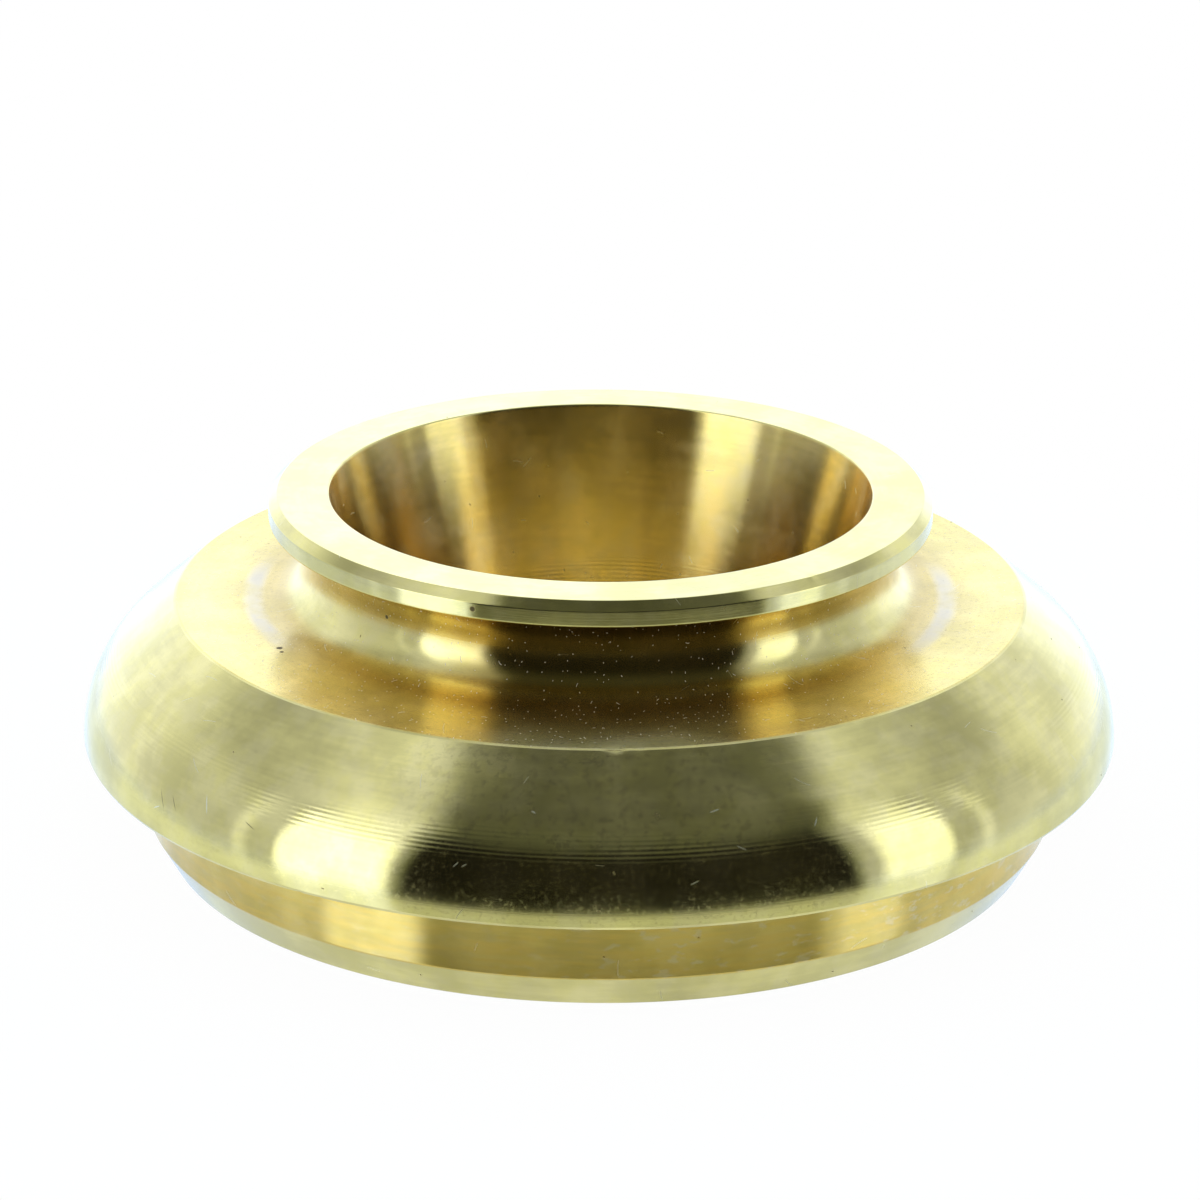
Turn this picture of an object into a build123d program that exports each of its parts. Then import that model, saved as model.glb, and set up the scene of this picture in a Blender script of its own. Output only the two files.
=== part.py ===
# Turned collar: one solid brass turning with a tapered through bore.
# Millimetres, +Z up, origin at the centre of the base's underside.
import os
from math import acos, atan2, cos, radians, sin, tan

from build123d import *

# The bore, a plain cone that narrows downwards
bore_mouth_radius = 20.0
bore_taper_angle = 15.0
bore_mouth_break = 0.2
bore_exit_break = 0.4

# The lip at the top
lip_radius = 24.45
lip_thickness = 1.8
lip_chamfer_width = 0.65
lip_chamfer_height = 0.6

# The neck, a groove with one full radius between the lip and the shoulder
neck_radius = 21.3
neck_width = 6.15

# The shoulder and the skirt that flares out below it
shoulder_radius = 31.45
shoulder_edge_break = 0.12
skirt_radius = 38.4
skirt_height = 10.45
crown_radius = 9.7

# The band below the skirt and the chamfer that it stands on
band_radius = 33.8
band_height = 5.7
base_chamfer_width = 1.4
base_chamfer_height = 2.5

# Levels, added up from the base
band_foot_z = base_chamfer_height
skirt_foot_z = band_foot_z + band_height
shoulder_z = skirt_foot_z + skirt_height
lip_foot_z = shoulder_z + neck_width
top_z = lip_foot_z + lip_thickness

# The crown is an arc that ends upright at the skirt's foot. It can't be larger
# than the one arc that joins the shoulder's edge to the foot.
flare = skirt_radius - shoulder_radius
crown = min(crown_radius, (flare**2 + skirt_height**2) / (2 * flare))
crown_centre = (skirt_radius - crown, skirt_foot_z)

# The cone from the shoulder's edge touches the crown at this angle
reach = (shoulder_radius - crown_centre[0], shoulder_z - crown_centre[1])
distance = (reach[0] ** 2 + reach[1] ** 2) ** 0.5
touch_angle = atan2(reach[1], reach[0]) - acos(min(1.0, crown / distance))


def on_crown(angle):
    return (crown_centre[0] + crown * cos(angle), crown_centre[1] + crown * sin(angle))


# Half section of the blank, in radius and height: X is the radius here
skirt_lines = Polyline(
    (0, top_z),
    (lip_radius - lip_chamfer_width, top_z),
    (lip_radius, top_z - lip_chamfer_height),
    (lip_radius, shoulder_z),
    (shoulder_radius, shoulder_z),
    on_crown(touch_angle),
)
crown_arc = ThreePointArc(on_crown(touch_angle), on_crown(touch_angle / 2), (skirt_radius, skirt_foot_z))
base_lines = Polyline(
    (skirt_radius, skirt_foot_z),
    (band_radius, skirt_foot_z),
    (band_radius, band_foot_z),
    (band_radius - base_chamfer_width, 0),
    (0, 0),
    (0, top_z),
)
section = make_face([skirt_lines, crown_arc, base_lines])

# The neck groove, open towards the outside
groove_radius = neck_width / 2
groove_reach = lip_radius + groove_radius
groove = Pos(neck_radius + groove_radius, shoulder_z + groove_radius) * Circle(groove_radius)
groove += Pos(neck_radius + groove_radius, shoulder_z) * Rectangle(
    groove_reach, neck_width, align=(Align.MIN, Align.MIN)
)
section -= groove

# The bore, with its edges broken at both ends
taper = tan(radians(bore_taper_angle))
bore_exit_radius = bore_mouth_radius - top_z * taper
section -= make_face(
    Polyline(
        (0, top_z),
        (bore_mouth_radius + bore_mouth_break, top_z),
        (bore_mouth_radius - bore_mouth_break * taper, top_z - bore_mouth_break),
        (bore_exit_radius + bore_exit_break * taper, bore_exit_break),
        (bore_exit_radius + bore_exit_break, 0),
        (0, 0),
        (0, top_z),
    )
)

# The section stands on the XZ plane and turns about Z
collar = revolve(Plane.XZ * section, axis=Axis.Z, revolution_arc=360)

# The shoulder's sharp edge, taken off by hand
shoulder_edge = collar.edges().filter_by(GeomType.CIRCLE).filter_by(
    lambda edge: abs(edge.radius - shoulder_radius) < 0.01
)
if shoulder_edge:
    collar = chamfer(shoulder_edge, shoulder_edge_break)

collar.label = "collar"
print("volume", round(collar.volume), "height", top_z, "bore exit radius", round(bore_exit_radius, 2))
print("crown touches at", round(touch_angle * 57.29578, 1), "degrees")

os.makedirs("parts", exist_ok=True)
export_step(collar, "parts/collar.step")
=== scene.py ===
from math import acos, atan2, cos, pi, radians, sin, tan

import bpy
from mathutils import Matrix, Vector


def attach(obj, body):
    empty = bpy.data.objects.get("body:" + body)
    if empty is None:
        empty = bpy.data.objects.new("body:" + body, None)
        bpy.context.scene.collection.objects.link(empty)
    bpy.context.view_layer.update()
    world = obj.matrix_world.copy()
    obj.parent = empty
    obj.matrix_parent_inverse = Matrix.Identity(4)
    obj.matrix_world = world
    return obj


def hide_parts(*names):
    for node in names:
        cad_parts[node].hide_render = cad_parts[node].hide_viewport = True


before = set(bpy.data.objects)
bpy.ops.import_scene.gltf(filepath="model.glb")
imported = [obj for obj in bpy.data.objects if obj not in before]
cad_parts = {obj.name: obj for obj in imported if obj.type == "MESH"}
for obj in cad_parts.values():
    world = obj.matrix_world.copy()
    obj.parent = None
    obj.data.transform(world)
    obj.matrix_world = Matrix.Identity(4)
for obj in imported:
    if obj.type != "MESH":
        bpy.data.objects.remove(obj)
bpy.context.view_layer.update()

mm = 0.001


# A short way to write node trees
class Tree:
    def __init__(self, tree):
        self.nodes = tree.nodes
        self.links = tree.links

    def put(self, socket, value):
        if isinstance(value, bpy.types.NodeSocket):
            self.links.new(value, socket)
        else:
            socket.default_value = value

    # adds a node; its inputs are given in order, or by name or number
    def add(self, kind, inputs=(), **settings):
        node = self.nodes.new(kind)
        for name, value in settings.items():
            setattr(node, name, value)
        pairs = inputs.items() if isinstance(inputs, dict) else enumerate(inputs)
        for key, value in pairs:
            if value is not None:
                self.put(node.inputs[key], value)
        return node

    def math(self, operation, a, b=None):
        return self.add("ShaderNodeMath", (a, b), operation=operation).outputs[0]

    def chain(self, operation, first, *others):
        for other in others:
            first = self.math(operation, first, other)
        return first

    def times(self, *values):
        return self.chain("MULTIPLY", *values)

    def plus(self, *values):
        return self.chain("ADD", *values)

    def highest(self, *values):
        return self.chain("MAXIMUM", *values)

    def minus(self, a, b):
        return self.math("SUBTRACT", a, b)

    def vector(self, operation, a, b=None):
        node = self.add("ShaderNodeVectorMath", (a, b), operation=operation)
        return node.outputs["Value" if operation in ("LENGTH", "DISTANCE") else "Vector"]

    def scaled(self, vector, factor):
        node = self.add("ShaderNodeVectorMath", {"Vector": vector, "Scale": factor}, operation="SCALE")
        return node.outputs["Vector"]

    def combine(self, x, y, z):
        return self.add("ShaderNodeCombineXYZ", (x, y, z)).outputs[0]

    def split(self, vector):
        return self.add("ShaderNodeSeparateXYZ", (vector,)).outputs

    # bottom below low, top above high, smooth between (low may be the larger one)
    def step(self, value, low, high, bottom=0.0, top=1.0):
        return self.add("ShaderNodeMapRange", {
            "Value": value, "From Min": low, "From Max": high, "To Min": bottom, "To Max": top,
        }, interpolation_type="SMOOTHSTEP").outputs[0]

    # 1 between low and high, with soft ends
    def window(self, value, low, high, soft):
        rising = self.step(value, low - soft, low + soft)
        falling = self.step(value, high + soft, high - soft)
        return self.times(rising, falling)

    def blend(self, share, a, b):
        return self.add("ShaderNodeMix", {0: share, 2: a, 3: b}, data_type="FLOAT").outputs[0]

    def tint(self, share, a, b, mode="MIX"):
        node = self.add("ShaderNodeMix", {0: share, 6: a, 7: b}, data_type="RGBA", blend_type=mode)
        return node.outputs[2]

    def noise(self, vector, scale, detail=2.0, roughness=0.5):
        return self.add("ShaderNodeTexNoise", {
            "Vector": vector, "Scale": scale, "Detail": detail, "Roughness": roughness}).outputs[0]


# The camera. Lengths are in millimetres, angles in degrees.
camera = {
    "place": (0.0, -340.4, 143.75),
    "tiltDown": 20.30,
    "roll": 0.37,
    "lens": 146.64,
    "sensor": 36.0,
    "near": 10.0,
    "far": 20000.0,
}


def placeCamera():
    lens = bpy.data.cameras.new("camera")
    lens.lens = camera["lens"]
    lens.sensor_width = camera["sensor"]
    lens.clip_start = camera["near"] * mm
    lens.clip_end = camera["far"] * mm
    view = bpy.data.objects.new("camera", lens)
    view.matrix_world = (Matrix.Translation(Vector(camera["place"]) * mm)
                         @ Matrix.Rotation(radians(90 - camera["tiltDown"]), 4, "X")
                         @ Matrix.Rotation(radians(camera["roll"]), 4, "Z"))
    bpy.context.collection.objects.link(view)
    bpy.context.scene.camera = view
    bpy.context.scene.view_settings.view_transform = "Standard"


placeCamera()
print("camera placed")


# The studio that the metal mirrors. Azimuths and heights are in degrees, as seen from the collar: azimuth 0
# is the front, where the camera stands, and plus is to the right; aside counts from the front to either side.
# A pair of angles says where a change starts and where it ends, and a pair of levels or shares what changes.
# A level is a brightness, 1 for white.
studio = {
    # the rear: grey sides, a bright backdrop between them, a wall above it, a panel above that, and a soft
    # glow high at each side
    "sideLevel": 0.54,
    "backdropLevel": 1.45,
    "backdropAside": (88.0, 165.0),
    "wallLevel": 0.9,
    "wallAside": (100.0, 132.0),
    "wallGain": 0.48,
    "wallGainAside": (142.0, 172.0),
    "wallTurn": (-60.0, 60.0),
    "wallShares": (1.14, 0.98),
    "wallHeight": (6.0, 17.0),
    "panelLevels": (0.43, 1.0),
    "panelAside": (138.5, 141.5),
    "panelHeight": (27.0, 39.0),
    "panelTops": (40.0, 44.0),
    "panelTopAside": (130.0, 138.0),
    "panelFade": 7.0,
    "glowLevel": 0.80,
    "glowAside": (62.0, 100.0),
    "glowHeight": (50.0, 72.0),
    # the front: dark, with a grey ceiling over it, and wider the higher it is
    "frontLevel": 0.006,
    "ceilingLevel": 0.1,
    "ceilingHeight": (29.0, 52.0),
    "ceilingEnd": (58.0, 76.0),
    "ceilingEndShare": 0.62,
    "leftEdge": (-43.0, -82.0),
    "leftEdgeHeight": (46.0, 82.0),
    "rightEdge": (57.0, 98.0),
    "rightEdgeHeight": (34.0, 74.0),
    "edgeSoftness": (3.0, 9.0),
    "edgeSoftHeight": (24.0, 55.0),
    # soft boxes at the edges of the dark front: inner azimuth, outer azimuth, level
    "leftBox": (-44.0, -72.0, 2.0),
    "rightBox": (61.0, 81.0, 1.62),
    "boxInnerFade": (-3.0, 5.0),
    "boxOuterFade": (3.0, -2.0),
    "boxDimHeight": (18.0, 42.0),
    "boxDimShare": 0.48,
    "boxTop": (70.0, 50.0),
    "lineAway": (8.5, 12.0),
    "lineLevel": 0.3,
    # below the table's edge: far and near in front, then aside, below and right under the collar
    "tableHeight": (-1.0, -7.0),
    "tableFar": 0.015,
    "tableNear": 0.04,
    "tableNearHeight": (-10.0, -18.0),
    "tableDimHeight": (-2.0, -13.0),
    "tableDimLevels": (0.5, 1.2),
    "tableDimShares": (1.02, 0.68),
    "tableAside": 0.80,
    "tableAsideHeight": (-24.0, -58.0),
    "tableBelow": 0.60,
    "tableBelowHeight": (-62.0, -80.0),
    "tableTouch": 1.1,
    "tableTouchHeight": (-79.0, -88.0),
    # colours of bright, low and dark parts of the room, and the level of the soft light
    "lightColour": (0.96, 1.165, 1.5, 1.0),
    "lowColour": (0.96, 1.24, 1.95, 1.0),
    "lowTop": (-3.0, -12.0),
    "lowEnd": (-55.0, -28.0),
    "shadeColour": (1.0, 1.26, 1.2, 1.0),
    "shadeLevels": (0.05, 0.5),
    "softLevel": 1.15,
}


def rearLevel(t, azimuth, height):
    s = studio
    aside = t.math("ABSOLUTE", azimuth)
    rear = t.step(aside, *s["backdropAside"], s["sideLevel"], s["backdropLevel"])
    wall = t.plus(t.step(aside, *s["wallAside"], s["sideLevel"], s["wallLevel"]),
                  t.step(aside, *s["wallGainAside"], 0.0, s["wallGain"]))
    wall = t.times(wall, t.step(azimuth, *s["wallTurn"], *s["wallShares"]))
    rear = t.blend(t.step(height, *s["wallHeight"]), rear, wall)
    panel = t.step(aside, *s["panelAside"], *s["panelLevels"])
    rear = t.blend(t.step(height, *s["panelHeight"]), rear, panel)
    panelTop = t.step(aside, *s["panelTopAside"], *s["panelTops"])
    rear = t.blend(t.step(height, panelTop, t.plus(panelTop, s["panelFade"])), rear, s["sideLevel"])
    glow = t.times(t.window(aside, *s["glowAside"], soft=14.0), t.window(height, *s["glowHeight"], soft=10.0))
    return t.blend(glow, rear, s["glowLevel"])


def frontLevel(t, height):
    s = studio
    ceiling = t.step(height, *s["ceilingHeight"], s["frontLevel"], s["ceilingLevel"])
    return t.times(ceiling, t.step(height, *s["ceilingEnd"], 1.0, s["ceilingEndShare"]))


# 0 in the dark front and 1 beside and behind it
def sideShare(t, azimuth, height):
    s = studio
    left = t.minus(t.step(height, *s["leftEdgeHeight"], *s["leftEdge"]), azimuth)
    right = t.minus(azimuth, t.step(height, *s["rightEdgeHeight"], *s["rightEdge"]))
    softness = t.step(height, *s["edgeSoftHeight"], *s["edgeSoftness"])
    return t.step(t.math("DIVIDE", t.highest(left, right), softness), -1.0, 1.0)


# a soft box, and a thin bright line beyond it
def addSoftBox(t, level, azimuth, height, side, box):
    s = studio
    inner, outer, strength = box
    out = t.times(azimuth, 1 if outer > inner else -1)
    inner, outer = abs(inner), abs(outer)
    fadeIn = [inner + away for away in s["boxInnerFade"]]
    fadeOut = [outer + away for away in s["boxOuterFade"]]
    across = t.times(t.step(out, *fadeIn), t.step(out, *fadeOut))
    tall = t.times(t.step(height, *s["boxDimHeight"], 1.0, s["boxDimShare"]), t.step(height, *s["boxTop"]))
    level = t.highest(level, t.times(across, tall, strength, side))
    lineFrom, lineTo = s["lineAway"]
    line = t.window(out, outer + lineFrom, outer + lineTo, soft=1.5)
    return t.plus(level, t.times(line, tall, s["lineLevel"]))


# what lies below the table's edge: dark in front, and the room's own light at the sides, a little dimmed
def tableLevel(t, level, height, side):
    s = studio
    under = t.step(height, *s["tableNearHeight"], s["tableFar"], s["tableNear"])
    dimmed = t.step(level, *s["tableDimLevels"], *s["tableDimShares"])
    beside = t.times(level, t.blend(t.step(height, *s["tableDimHeight"]), 1.0, dimmed))
    under = t.blend(side, under, beside)
    for part in ("tableAside", "tableBelow", "tableTouch"):
        under = t.blend(t.step(height, *s[part + "Height"]), under, s[part])
    return t.blend(t.step(height, *s["tableHeight"]), level, under)


def buildStudio():
    s = studio
    world = bpy.data.worlds.new("studio")
    bpy.context.scene.world = world
    world.use_nodes = True
    t = Tree(world.node_tree)
    t.nodes.clear()
    x, y, z = t.split(t.add("ShaderNodeTexCoord").outputs["Generated"])
    azimuth = t.times(t.math("ARCTAN2", x, t.times(y, -1.0)), 180 / pi)
    height = t.times(t.math("ARCSINE", z), 180 / pi)

    side = sideShare(t, azimuth, height)
    level = t.blend(side, frontLevel(t, height), rearLevel(t, azimuth, height))
    for box in (s["leftBox"], s["rightBox"]):
        level = addSoftBox(t, level, azimuth, height, side, box)
    level = tableLevel(t, level, height, side)
    low = t.times(t.step(height, *s["lowTop"]), t.step(height, *s["lowEnd"]))
    lit = t.tint(low, s["lightColour"], s["lowColour"])
    cast = t.tint(t.step(level, *s["shadeLevels"]), s["shadeColour"], lit)
    mirrored = t.tint(1.0, t.combine(level, level, level), cast, "MULTIPLY")

    # a plain soft light, the room that metal mirrors, and plain white behind the collar
    plainWhite = (1.0, 1.0, 1.0, 1.0)
    soft = t.add("ShaderNodeBackground", (plainWhite, s["softLevel"]))
    room = t.add("ShaderNodeBackground", (mirrored, 1.0))
    white = t.add("ShaderNodeBackground", (plainWhite, 1.0))
    path = t.add("ShaderNodeLightPath").outputs
    inMetal = t.highest(path["Is Glossy Ray"], path["Is Transmission Ray"])
    indoors = t.add("ShaderNodeMixShader", (inMetal, soft.outputs[0], room.outputs[0]))
    shown = t.add("ShaderNodeMixShader", (path["Is Camera Ray"], indoors.outputs[0], white.outputs[0]))
    t.links.new(shown.outputs[0], t.add("ShaderNodeOutputWorld").inputs[0])


buildStudio()
print("studio lit")


# The table: a clear sheet, frosted around the collar, where it keeps a faint shadow. Lengths in millimetres.
table = {
    "reach": 400.0,
    "frost": 0.60,  # how much light the frosted part gives to the collar
    "frostSeen": 0.05,  # how much of it the camera sees
    # radii: the frost is thin to the first, full from the second to the third, and gone from the last
    # the thin frost near the collar is painted shade: the metal sees less of the lit sheet there, in place of
    # the skirt's shadow
    "thinTo": 40.0,
    "fullFrom": 60.0,
    "fullTo": 70.0,
    "clearFrom": 95.5,
    "thinShare": 0.5,
    "colour": (0.80, 0.97, 0.98, 1.0),
}


def frostedSheet():
    material = bpy.data.materials.new("frostedSheet")
    material.use_nodes = True
    t = Tree(material.node_tree)
    t.nodes.clear()
    radius = t.vector("LENGTH", t.add("ShaderNodeTexCoord").outputs["Object"])
    seen = t.add("ShaderNodeLightPath").outputs["Is Camera Ray"]
    # the frost thins near the collar as painted shade under the skirt
    share = t.times(
        t.step(radius, table["clearFrom"] * mm, table["fullTo"] * mm),
        t.step(radius, table["thinTo"] * mm, table["fullFrom"] * mm, table["thinShare"], 1.0),
        t.blend(seen, table["frost"], table["frostSeen"]))
    clear = t.add("ShaderNodeBsdfTransparent")
    frosted = t.add("ShaderNodeBsdfDiffuse", (table["colour"],))
    both = t.add("ShaderNodeMixShader", (share, clear.outputs[0], frosted.outputs[0]))
    t.links.new(both.outputs[0], t.add("ShaderNodeOutputMaterial").inputs[0])
    return material


def buildTable():
    reach = table["reach"] * mm
    corners = [(-reach, -reach, 0), (reach, -reach, 0), (reach, reach, 0), (-reach, reach, 0)]
    mesh = bpy.data.meshes.new("table")
    mesh.from_pydata(corners, [], [(0, 1, 2, 3)])
    mesh.materials.append(frostedSheet())
    sheet = bpy.data.objects.new("table", mesh)
    bpy.context.collection.objects.link(sheet)


buildTable()
print("table laid")


# The collar. Radii and heights are in millimetres, heights from the base.
collar = {
    "boreMouth": 20.0,
    "boreExit": 12.87,
    "boreChamfer": 0.4,
    "height": 26.6,
    "topFace": 23.8,
    "lip": 24.45,
    "lipChamfer": 0.6,
    "lipFoot": 24.8,
    "neck": 21.3,
    "neckFullness": 0.998,  # just under a full round, so that its two arcs never meet
    "shoulderHeight": 18.65,
    "shoulder": 31.45,
    "shoulderBreak": 0.13,
    "skirt": 38.38,
    "crownRadius": 9.65,
    "crownApex": 12.631,
    "skirtFoot": 8.2,
    "skirtBreak": 0.22,
    "skirtBreakLean": 30.0,  # degrees from upright
    "crownStop": 0.15,  # the crown ends this far above the broken edge
    "band": 33.8,
    "bandFoot": 2.5,
    "base": 32.4,
    "turnSteps": 576,
    "longRun": 2.5,
    "runEnd": 0.36,
    # nicks along the edges: azimuth, radius, height, size, depth
    "nicks": [
        (1.0, 31.4, 18.6, 0.34, 0.08),
        (1.9, 31.4, 18.6, 0.36, 0.11),
        (2.8, 31.4, 18.6, 0.34, 0.09),
        (5.2, 31.4, 18.6, 0.32, 0.06),
        (38.5, 23.9, 26.5, 0.45, 0.06),
        (-23.0, 24.45, 25.1, 0.16, 0.05),
        (-32.5, 38.3, 8.25, 0.3, 0.05),
        (-30.0, 38.3, 8.25, 0.25, 0.04),
        (118.0, 38.3, 8.4, 0.8, 0.12),
        (163.0, 31.4, 18.6, 0.7, 0.1),
        (-140.0, 24.4, 25.8, 0.7, 0.1),
    ],
}


# A place on the collar from its azimuth in degrees, its radius and its height
def placeOn(azimuth, radius, height):
    turn = radians(azimuth)
    return Vector((radius * sin(turn), -radius * cos(turn), height))


# Rounds one corner of a section, with a short straight hold on each side of the arc
def roundCorner(before, corner, after, radius, steps, hold):
    a = (before - corner).normalized()
    b = (after - corner).normalized()
    half = acos(max(-1.0, min(1.0, a.dot(b)))) / 2
    centre = corner + (a + b).normalized() * (radius / sin(half))
    start = corner + a * (radius / tan(half)) - centre
    end = corner + b * (radius / tan(half)) - centre
    turn = atan2(start.x * end.y - start.y * end.x, start.dot(end))
    arc = []
    for i in range(steps + 1):
        angle = turn * i / steps
        across = start.x * cos(angle) - start.y * sin(angle)
        up = start.x * sin(angle) + start.y * cos(angle)
        arc.append(centre + Vector((across, up)))
    if hold:
        arc = [arc[0] + a * hold] + arc + [arc[-1] + b * hold]
    return arc


def collarSection():
    c = collar
    neckRound = (c["lipFoot"] - c["shoulderHeight"]) / 2 * c["neckFullness"]
    slope = atan2(c["shoulderHeight"] - c["crownApex"], c["skirt"] - c["shoulder"])
    breakEnd = (c["shoulder"] + c["shoulderBreak"] * cos(slope),
                c["shoulderHeight"] - c["shoulderBreak"] * sin(slope))
    facet = c["skirtBreak"] * tan(radians(c["skirtBreakLean"]))
    # radius, height, rounding, arc steps and hold of each corner
    corners = [
        (c["boreExit"] + c["boreChamfer"], 0.0, 0.08, 3, 0.1),
        (c["boreExit"], c["boreChamfer"], 0.15, 3, 0.1),
        (c["boreMouth"], c["height"], 0.14, 4, 0.12),
        (c["topFace"], c["height"], 0.06, 3, 0.08),
        (c["lip"], c["height"] - c["lipChamfer"], 0.07, 3, 0.08),
        (c["lip"], c["lipFoot"], 0.1, 4, 0.1),
        (c["neck"], c["lipFoot"], neckRound, 16, 0.0),
        (c["neck"], c["shoulderHeight"], neckRound, 16, 0.0),
        (c["shoulder"] - c["shoulderBreak"], c["shoulderHeight"], 0.1, 3, 0.06),
        (*breakEnd, 0.1, 3, 0.06),
        (c["skirt"], c["crownApex"], c["crownRadius"], 30, 0.0),
        (c["skirt"], c["skirtFoot"] + c["skirtBreak"], 0.06, 3, 0.04),
        (c["skirt"] - facet, c["skirtFoot"], 0.04, 3, 0.04),
        (c["band"], c["skirtFoot"], 0.2, 4, 0.1),
        (c["band"], c["bandFoot"], 0.12, 4, 0.1),
        (c["base"], 0.0, 0.2, 5, 0.1),
    ]
    places = [Vector(corner[:2]) for corner in corners]
    outline = []
    for i, corner in enumerate(corners):
        arc = roundCorner(places[i - 1], places[i], places[(i + 1) % len(corners)], *corner[2:])
        if corner[2] == c["crownRadius"]:
            # the crown would run on past the foot, so its last points give way to the broken edge
            stop = c["skirtFoot"] + c["skirtBreak"] + c["crownStop"]
            arc = [point for point in arc if point.y > stop]
        outline += arc
    # a point near each end of a long straight run keeps a nick at an edge from showing all along it
    outline.append(outline[0])
    result = []
    for start, end in zip(outline, outline[1:]):
        result.append(start)
        if (end - start).length > c["longRun"]:
            ease = (end - start).normalized() * c["runEnd"]
            result += [start + ease, end - ease]
    return result


# Distance along the section at each of its points, for patterns that follow the tool
def distancesAlong(points):
    result = [0.0]
    for before, after in zip(points, points[1:]):
        result.append(result[-1] + (after - before).length)
    return result


# A tree that turns a section, given as the points of a mesh, about Z
def turningTree():
    tree = bpy.data.node_groups.new("turnSection", "GeometryNodeTree")
    face = tree.interface
    face.new_socket("Section", in_out="INPUT", socket_type="NodeSocketGeometry")
    steps = face.new_socket("Turn steps", in_out="INPUT", socket_type="NodeSocketInt")
    steps.default_value = 64
    face.new_socket("Finish", in_out="INPUT", socket_type="NodeSocketMaterial")
    face.new_socket("Turned piece", in_out="OUTPUT", socket_type="NodeSocketGeometry")
    t = Tree(tree)
    given = t.add("NodeGroupInput").outputs
    size = t.add("GeometryNodeAttributeDomainSize", (given["Section"],), component="MESH").outputs
    count = size["Point Count"]

    # a grid with a row for each point of the section and a column for each step of the turn, both closed
    rows = t.plus(count, 1.0)
    columns = t.plus(given["Turn steps"], 1.0)
    grid = t.add("GeometryNodeMeshGrid", {"Vertices X": rows, "Vertices Y": columns}).outputs["Mesh"]
    index = t.add("GeometryNodeInputIndex").outputs[0]
    row = t.math("FLOOR", t.math("DIVIDE", t.plus(index, 0.5), columns))
    column = t.minus(index, t.times(row, columns))
    point = t.math("MODULO", row, count)

    # each row takes its place and its distance along from the section's point
    position = t.add("GeometryNodeInputPosition").outputs[0]
    place = t.add("GeometryNodeSampleIndex", {
        "Geometry": given["Section"], "Value": position, "Index": point,
    }, data_type="FLOAT_VECTOR", domain="POINT").outputs[0]
    distance = t.add("GeometryNodeInputNamedAttribute", {"Name": "along"}, data_type="FLOAT").outputs[0]
    travel = t.add("GeometryNodeSampleIndex", {
        "Geometry": given["Section"], "Value": distance, "Index": point,
    }, data_type="FLOAT", domain="POINT").outputs[0]
    marked = t.add("GeometryNodeStoreNamedAttribute", {
        "Geometry": grid, "Name": "along", "Value": travel,
    }, data_type="FLOAT", domain="POINT").outputs[0]
    radius, _, height = t.split(place)
    angle = t.times(t.math("DIVIDE", column, given["Turn steps"]), 2 * pi)
    x, y = t.times(radius, t.math("COSINE", angle)), t.times(radius, t.math("SINE", angle))
    swept = t.combine(x, y, height)
    moved = t.add("GeometryNodeSetPosition", {"Geometry": marked, "Position": swept}).outputs[0]
    piece = t.add("GeometryNodeMergeByDistance", {"Geometry": moved, "Distance": 0.002 * mm}).outputs[0]

    # each nick pushes the surface in around its place
    for azimuth, reach, level, size, depth in collar["nicks"]:
        away = t.vector("DISTANCE", position, placeOn(azimuth, reach, level) * mm)
        push = t.step(away, size * mm, 0.0, 0.0, -depth * mm)
        dent = t.scaled(t.add("GeometryNodeInputNormal").outputs[0], push)
        piece = t.add("GeometryNodeSetPosition", {"Geometry": piece, "Offset": dent}).outputs[0]
    smooth = t.add("GeometryNodeSetShadeSmooth", {"Geometry": piece, "Shade Smooth": True}).outputs[0]
    real = t.add("GeometryNodeRealizeInstances", {"Geometry": smooth}).outputs[0]
    dressed = t.add("GeometryNodeSetMaterial", {"Geometry": real, "Material": given["Finish"]}).outputs[0]
    t.links.new(dressed, t.add("NodeGroupOutput").inputs[0])
    return tree


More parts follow.
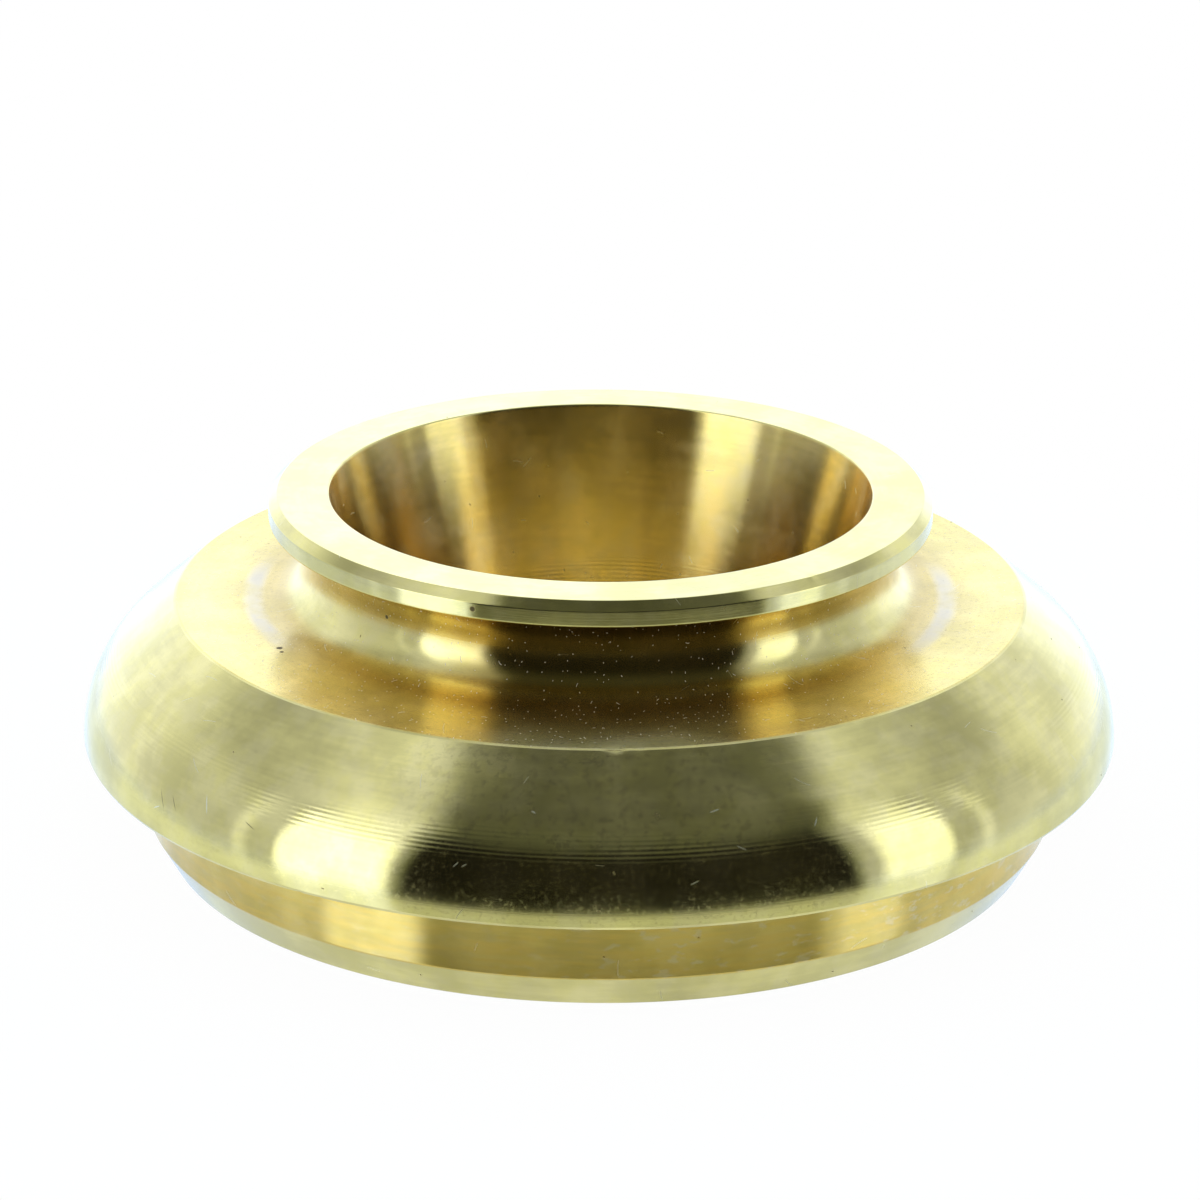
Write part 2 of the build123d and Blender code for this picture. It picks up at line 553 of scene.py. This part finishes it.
# Brass as it comes off the lathe. Lengths are in millimetres, azimuths in degrees.
brass = {
    # colour and roughness of each surface
    "surfaces": {
        "skirt": ((0.93, 0.74, 0.29, 1.0), 0.16),
        "crown": ((0.93, 0.74, 0.29, 1.0), 0.095),
        "shoulder": ((0.95, 0.70, 0.22, 1.0), 0.22),
        "neck": ((0.90, 0.71, 0.27, 1.0), 0.17),
        "lip": ((0.93, 0.74, 0.28, 1.0), 0.115),
        "band": ((0.92, 0.63, 0.165, 1.0), 0.15),
        "bore": ((0.90, 0.65, 0.21, 1.0), 0.185),
    },
    # colour and strength of what lies over them, and of light and shade painted on them
    "layers": {
        # brown by the neck: partly tarnish, partly painted shade of the corner
        "tarnishAndPaintedShade": ((0.42, 0.25, 0.05, 1.0), 0.62),
        # painted shade at the neck's foot and under the lip
        "paintedNeckEndShade": ((0.30, 0.20, 0.04, 1.0), 0.7),
        # painted reflection: paler towards the shoulder's edge in front
        "paintedPaleEdgeReflection": ((0.93, 0.84, 0.42, 1.0), 0.6),
        "speckle": ((0.30, 0.17, 0.05, 1.0), 0.22),
        "stains": ((0.50, 0.38, 0.16, 1.0), 0.4),
        "goldStreaks": ((0.98, 0.58, 0.10, 1.0), 0.35),
        "paleFlecks": ((0.78, 0.78, 0.66, 1.0), 0.18),
        "haze": ((0.76, 0.66, 0.56, 1.0), 0.6),
        "fingerprints": ((0.95, 0.90, 0.75, 1.0), 0.12),
        "pits": ((0.12, 0.08, 0.04, 1.0), 0.6),
        "scratches": ((0.86, 0.80, 0.58, 1.0), 0.4),
        # scratch strokes: a painted glint on the pale ones, painted shade on the dark ones
        "scratchWithPaintedGlint": ((0.98, 0.92, 0.66, 1.0), 0.8),
        "scratchWithPaintedShade": ((0.34, 0.27, 0.10, 1.0), 0.8),
        "dust": ((0.76, 0.75, 0.71, 1.0), 0.7),
    },
    "crownTop": 14.2,  # where the crown's polish gives way to the skirt's
    "mottle": 0.2,
    "markedRough": 0.55,
    "dustMetal": 0.4,  # how metallic dust still looks
    "anisotropic": 1.0,
    # relief of the tool marks and the grain
    "feedPitch": 0.33,
    "feedFrom": 12.7,
    "feedTo": 15.0,
    "feedRelief": 0.00325,
    "grainRelief": 0.0018,
    "sandRelief": 0.0020,
    "fleckRelief": 0.0016,
    # dark spots: azimuth, radius, height, size
    "spots": [
        (-21.2, 24.45, 25.54, 0.26),
        (-45.3, 21.3, 21.99, 0.2),
        (-61.3, 26.2, 18.65, 0.3),
        (-59.6, 26.4, 18.65, 0.2),
    ],
    "spotGain": 1.4,
    # strokes on the skirt: azimuth, height, half length, slant, and whether pale, with a painted glint, or
    # dark, with painted shade
    "strokes": [
        (-54.0, 10.9, 1.1, -60.0, False),
        (-51.8, 11.1, 0.85, -56.0, False),
        (-46.6, 12.0, 1.0, -70.0, True),
        (-54.8, 10.2, 0.55, 33.0, True),
        (-39.7, 11.75, 0.7, -23.0, False),
        (-14.9, 12.1, 0.42, 51.0, True),
        (-14.0, 12.1, 0.34, 36.0, True),
        (12.9, 15.35, 0.53, 12.0, True),
        (9.9, 11.3, 0.47, 27.0, True),
        (-7.2, 15.4, 0.25, -22.0, True),
        (15.2, 13.2, 0.55, -32.0, True),
        (24.0, 14.1, 0.5, 60.0, True),
    ],
    "strokeWidth": 0.07,
    "skirtStretch": 1.3,  # length along the lower skirt for each millimetre of height
    "markRadius": 31.0,  # radius at which the scattered marks have their true size
}


# The brass finish is built up in layers, one function for each kind. Heights and radii are in millimetres and
# angles in radians, with azimuth 0 in front.
class BrassTree(Tree):
    def __init__(self, tree):
        super().__init__(tree)
        self.nodes.clear()
        self.place = self.scaled(self.add("ShaderNodeTexCoord").outputs["Object"], 1 / mm)
        x, y, self.height = self.split(self.place)
        fromAxis = self.combine(x, y, 0.0)
        self.radius = self.vector("LENGTH", fromAxis)
        self.outwards = self.scaled(fromAxis, self.math("DIVIDE", 1.0, self.radius))
        self.azimuth = self.math("ARCTAN2", x, self.times(y, -1.0))
        self.aside = self.math("ABSOLUTE", self.azimuth)
        self.along = self.add("ShaderNodeAttribute", attribute_name="along").outputs["Fac"]
        self.clouds = self.noise(self.place, 0.16, 4.0, 0.6)
        self.sand = self.noise(self.place, 3.2, 3.0, 0.7)
        self.colour, self.rough = brass["surfaces"]["skirt"]
        self.metal = 1.0
        self.on = self.findSurfaces()

    # 1 on each surface and 0 elsewhere, from its place between the collar's own edges
    def findSurfaces(self):
        c = collar
        height, radius = self.height, self.radius
        return {
            "crown": self.window(height, c["skirtFoot"], brass["crownTop"], soft=0.5),
            "shoulder": self.times(self.window(height, 17.0, c["shoulderHeight"] + 0.35, soft=0.3),
                                   self.window(radius, c["neck"] + 0.7, c["shoulder"] - 0.05, soft=0.1)),
            "neck": self.times(self.window(height, c["shoulderHeight"] + 0.45, c["lipFoot"] - 0.1, soft=0.35),
                               self.window(radius, c["neck"] - 0.4, c["lip"] - 0.05, soft=0.1)),
            "lip": self.step(height, c["lipFoot"] - 0.1, c["lipFoot"] + 0.05),
            "band": self.window(height, c["bandFoot"] - 0.1, c["skirtFoot"] - 0.1, soft=0.05),
            "bore": self.times(self.step(height, c["height"] - 0.02, c["height"] - 0.1),
                               self.step(radius, c["boreMouth"] + 0.7, c["boreMouth"] + 0.4)),
        }

    # lays a colour of the brass dictionary over what is there
    def lay(self, name, mask):
        colour, strength = brass["layers"][name]
        self.colour = self.tint(self.times(mask, strength), self.colour, colour)

    def roughen(self, amount):
        self.rough = self.plus(self.rough, amount)

    # a point on rings about the axis: few turns around, many lines along the section
    def ringed(self, turns, lines):
        up = self.combine(0.0, 0.0, self.times(self.along, lines))
        return self.vector("ADD", self.scaled(self.outwards, turns), up)

    # short marks, one to a cell at most, each at its own angle; share says how many cells have one
    def marks(self, cell, length, width, share, seed, bend=0.0):
        across = self.plus(self.times(self.azimuth, brass["markRadius"] / cell), seed)
        spread = self.combine(across, self.math("DIVIDE", self.along, cell), 0.0)
        cells = self.add("ShaderNodeTexVoronoi", {
            "Vector": spread, "Scale": 1.0, "Randomness": 0.8}, voronoi_dimensions="2D").outputs
        dx, dy, _ = self.split(self.vector("SUBTRACT", spread, cells["Position"]))
        turn, size, chance = self.split(cells["Color"])
        angle = self.times(turn, pi)
        cosine, sine = self.math("COSINE", angle), self.math("SINE", angle)
        run = self.plus(self.times(dx, cosine), self.times(dy, sine))
        off = self.minus(self.times(dy, cosine), self.times(dx, sine))
        if bend:
            off = self.plus(off, self.times(run, run, bend))
        half = self.times(self.plus(size, 0.35), length / cell / 2)
        inLength = self.step(self.minus(self.math("ABSOLUTE", run), half), 0.02, -0.02)
        inWidth = self.step(self.math("ABSOLUTE", off), width / cell, width / cell * 0.3)
        return self.times(inLength, inWidth, self.math("GREATER_THAN", chance, 1.0 - share))

    def paintSurfaces(self):
        for name, mask in self.on.items():
            colour, rough = brass["surfaces"][name]
            self.colour = self.tint(mask, self.colour, colour)
            self.rough = self.blend(mask, self.rough, rough)

    # brown beside the neck, partly tarnish and partly painted shade of the corner, on the neck only in front;
    # more painted shade at the neck's foot and under the lip; and paler and duller towards the shoulder's
    # edge in front, where the paleness is a painted reflection
    def tarnishAndPaintedShade(self):
        inFront = self.step(self.aside, 0.62, 0.34)
        neck = self.times(self.on["neck"], inFront)
        nearNeck = self.step(self.radius, 29.3, 23.8)
        # brown near the neck: partly tarnish, partly painted shade of the corner; on the neck only in front,
        # where it is painted shade
        self.lay("tarnishAndPaintedShade", self.times(nearNeck, self.highest(self.on["shoulder"], neck)))
        # painted shade at the neck's foot and under the lip, on the neck in front
        foot = self.window(self.height, 19.0, 20.4, soft=0.5)
        head = self.step(self.height, 22.4, 24.0)
        self.lay("paintedNeckEndShade", self.times(self.highest(foot, head), neck))
        # painted reflection: paler towards the shoulder's edge in front; the dulling is real roughness
        outer = self.step(self.radius, 26.0, 31.4)
        edge = self.times(outer, self.step(self.aside, 0.40, 0.10), self.on["shoulder"])
        self.lay("paintedPaleEdgeReflection", edge)
        self.roughen(self.times(edge, 0.07))

    # slow clouds, streaks about the axis, and brown specks on the shoulder
    def mottle(self):
        streaks = self.noise(self.ringed(5.0, 1.6), 1.0, 3.0, 0.6)
        shade = self.plus(self.times(self.clouds, 0.75), self.times(streaks, 0.25))
        darker = self.step(shade, 0.38, 0.62, 1.0 - brass["mottle"], 1.0)
        yellower = self.step(self.noise(self.place, 0.33, 3.0, 0.65), 0.40, 0.60, 0.88, 1.0)
        shade = self.combine(darker, darker, self.times(darker, yellower))
        self.colour = self.tint(1.0, self.colour, shade, "MULTIPLY")
        self.lay("speckle", self.times(self.step(self.sand, 0.46, 0.34), self.on["shoulder"]))

    # fine dark stains on the skirt, mostly in front; gold streaks and pale flecks on the band
    def stain(self):
        onSkirt = self.window(self.height, 12.6, 18.5, soft=0.4)
        patches = self.step(self.noise(self.place, 1.5, 3.0, 0.7), 0.50, 0.64)
        self.lay("stains", self.times(patches, self.step(self.aside, 0.5, 0.2, 0.15, 1.0), onSkirt))
        streaks = self.step(self.noise(self.ringed(8.0, 2.6), 1.0, 3.0, 0.6), 0.45, 0.62)
        self.lay("goldStreaks", self.times(streaks, self.on["band"]))
        flecks = self.step(self.noise(self.ringed(26.0, 1.8), 1.0, 2.0, 0.7), 0.56, 0.66)
        flecks = self.times(flecks, self.on["band"], self.step(self.azimuth, -0.3, 0.2, 0.28, 1.0))
        self.lay("paleFlecks", flecks)
        self.roughen(self.times(flecks, 0.045))

    # a pale haze beside the neck at both sides, and fingerprints in the bore
    def smudge(self):
        haze = self.times(
            self.window(self.radius, 25.1, 26.3, soft=0.4),
            self.window(self.aside, 1.12, 1.75, soft=0.12),
            self.step(self.clouds, 0.35, 0.6, 0.25, 1.0),
            self.on["shoulder"])
        self.lay("haze", haze)
        prints = self.times(self.step(self.noise(self.place, 0.3, 3.0, 0.5), 0.42, 0.75), self.on["bore"])
        self.lay("fingerprints", prints)
        self.roughen(self.times(prints, 0.06))
        return haze

    # small dark pits everywhere, and the spots
    def pit(self):
        pits = self.marks(cell=3.2, length=0.16, width=0.08, share=0.10, seed=3.0)
        for azimuth, radius, height, size in brass["spots"]:
            away = self.vector("DISTANCE", self.place, placeOn(azimuth, radius, height))
            pits = self.highest(pits, self.step(away, size, size * 0.5, 0.0, brass["spotGain"]))
        self.lay("pits", pits)
        return pits

    # light scratches everywhere, and the strokes: the pale ones carry a painted glint, the dark ones painted
    # shade
    def scratch(self):
        scratches = self.marks(cell=3.1, length=1.1, width=0.04, share=0.16, seed=27.0, bend=0.4)
        self.lay("scratches", scratches)
        around, up = collar["skirt"], brass["skirtStretch"]
        unrolled = self.combine(self.times(self.azimuth, around), self.times(self.height, up), 0.0)
        aboveFoot = self.step(self.height, collar["skirtFoot"] - 0.2, collar["skirtFoot"] + 0.2)
        for azimuth, height, half, slant, pale in brass["strokes"]:
            local = self.add("ShaderNodeMapping", {
                "Vector": unrolled,
                "Location": (radians(azimuth) * around, height * up, 0.0),
                "Rotation": (0.0, 0.0, radians(slant)),
                "Scale": (half, brass["strokeWidth"], 1.0),
            }, vector_type="TEXTURE").outputs[0]
            stroke = self.times(self.step(self.vector("LENGTH", local), 1.0, 0.4), aboveFoot)
            # each stroke is a real scratch; its pale colour is a painted glint and its dark colour painted
            # shade
            self.lay("scratchWithPaintedGlint" if pale else "scratchWithPaintedShade", stroke)
            scratches = self.highest(scratches, stroke)
        return scratches

    # fibres and grains of dust, thickest on the shoulder and in the neck
    def dust(self):
        dusty = self.highest(self.on["shoulder"], self.times(self.on["neck"], 0.75), 0.12)
        fibres = self.marks(cell=1.5, length=0.4, width=0.03, share=0.18, seed=41.0, bend=1.6)
        grains = self.marks(cell=0.7, length=0.12, width=0.045, share=0.3, seed=53.0)
        patches = self.math("GREATER_THAN", dusty, self.noise(self.place, 0.9))
        dust = self.times(self.highest(fibres, grains), patches)
        self.lay("dust", dust)
        self.metal = self.blend(dust, 1.0, brass["dustMetal"])
        return dust

    # every mark dulls the brass under it, and slow clouds and fine sand on the crown make it uneven
    def wear(self):
        haze = self.smudge()
        pits = self.pit()
        scratches = self.scratch()
        dust = self.dust()
        marked = self.highest(dust, pits, self.times(scratches, 0.5), self.times(haze, 0.6))
        self.roughen(self.times(self.minus(self.clouds, 0.5), 0.10))
        self.roughen(self.times(self.step(self.sand, 0.50, 0.68), self.on["crown"], 0.07))
        self.rough = self.blend(marked, self.rough, brass["markedRough"])

    # tool marks: a fine grain all round, and the feed's own pitch on the lower skirt
    def toolMarks(self):
        grain = self.noise(self.ringed(4.0, 9.0), 1.0, 3.0, 0.6)
        flecks = self.noise(self.ringed(38.0, 3.4), 1.0, 3.0, 0.65)
        patches = self.step(self.noise(self.ringed(3.0, 0.6), 1.0, 0.0), 0.3, 0.62)
        lowerSkirt = self.window(self.height, brass["feedFrom"], brass["feedTo"], soft=0.4)
        feed = self.math("SINE", self.times(self.along, 2 * pi / brass["feedPitch"]))
        relief = self.plus(self.times(grain, brass["grainRelief"]),
                           self.times(feed, lowerSkirt, patches, brass["feedRelief"]),
                           self.times(self.sand, self.on["shoulder"], brass["sandRelief"]),
                           self.times(flecks, brass["fleckRelief"]))
        return self.add("ShaderNodeBump", {"Strength": 1.0, "Distance": mm, "Height": relief}).outputs[0]


def brassFinish():
    material = bpy.data.materials.new("turnedBrass")
    material.use_nodes = True
    t = BrassTree(material.node_tree)
    t.paintSurfaces()
    t.tarnishAndPaintedShade()
    t.mottle()
    t.stain()
    t.wear()
    shader = t.add("ShaderNodeBsdfPrincipled", {
        "Base Color": t.colour,
        "Metallic": t.metal,
        "Roughness": t.rough,
        "Anisotropic": brass["anisotropic"],
        "Anisotropic Rotation": 0.25,
        "Normal": t.toolMarks(),
        "Tangent": t.add("ShaderNodeTangent", direction_type="RADIAL", axis="Z").outputs[0],
    })
    t.links.new(shader.outputs[0], t.add("ShaderNodeOutputMaterial").inputs[0])
    return material


def buildCollar():
    section = collarSection()
    print("section points", len(section), "triangles", len(section) * collar["turnSteps"] * 2)
    points = bpy.data.meshes.new("collarSection")
    points.from_pydata([(p.x * mm, 0.0, p.y * mm) for p in section], [], [])
    points.attributes.new("along", "FLOAT", "POINT").data.foreach_set("value", distancesAlong(section))
    blank = bpy.data.objects.new("collarBlank", points)
    bpy.context.collection.objects.link(blank)
    turning = blank.modifiers.new("turning", "NODES")
    turning.node_group = turningTree()
    sockets = turning.node_group.interface.items_tree
    inputs = {item.name: item.identifier for item in sockets if item.in_out == "INPUT"}
    turning[inputs["Turn steps"]] = collar["turnSteps"]
    turning[inputs["Finish"]] = brassFinish()
    evaluated = blank.evaluated_get(bpy.context.evaluated_depsgraph_get())
    mesh = bpy.data.meshes.new_from_object(evaluated)
    bpy.data.objects.remove(blank)
    mesh.name = "brassCollar"
    piece = bpy.data.objects.new("brassCollar", mesh)
    bpy.context.collection.objects.link(piece)
    print("collar turned:", len(mesh.vertices), "points,", len(mesh.polygons), "faces")
    return piece


brassCollar = buildCollar()
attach(brassCollar, "root")
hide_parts("collar")
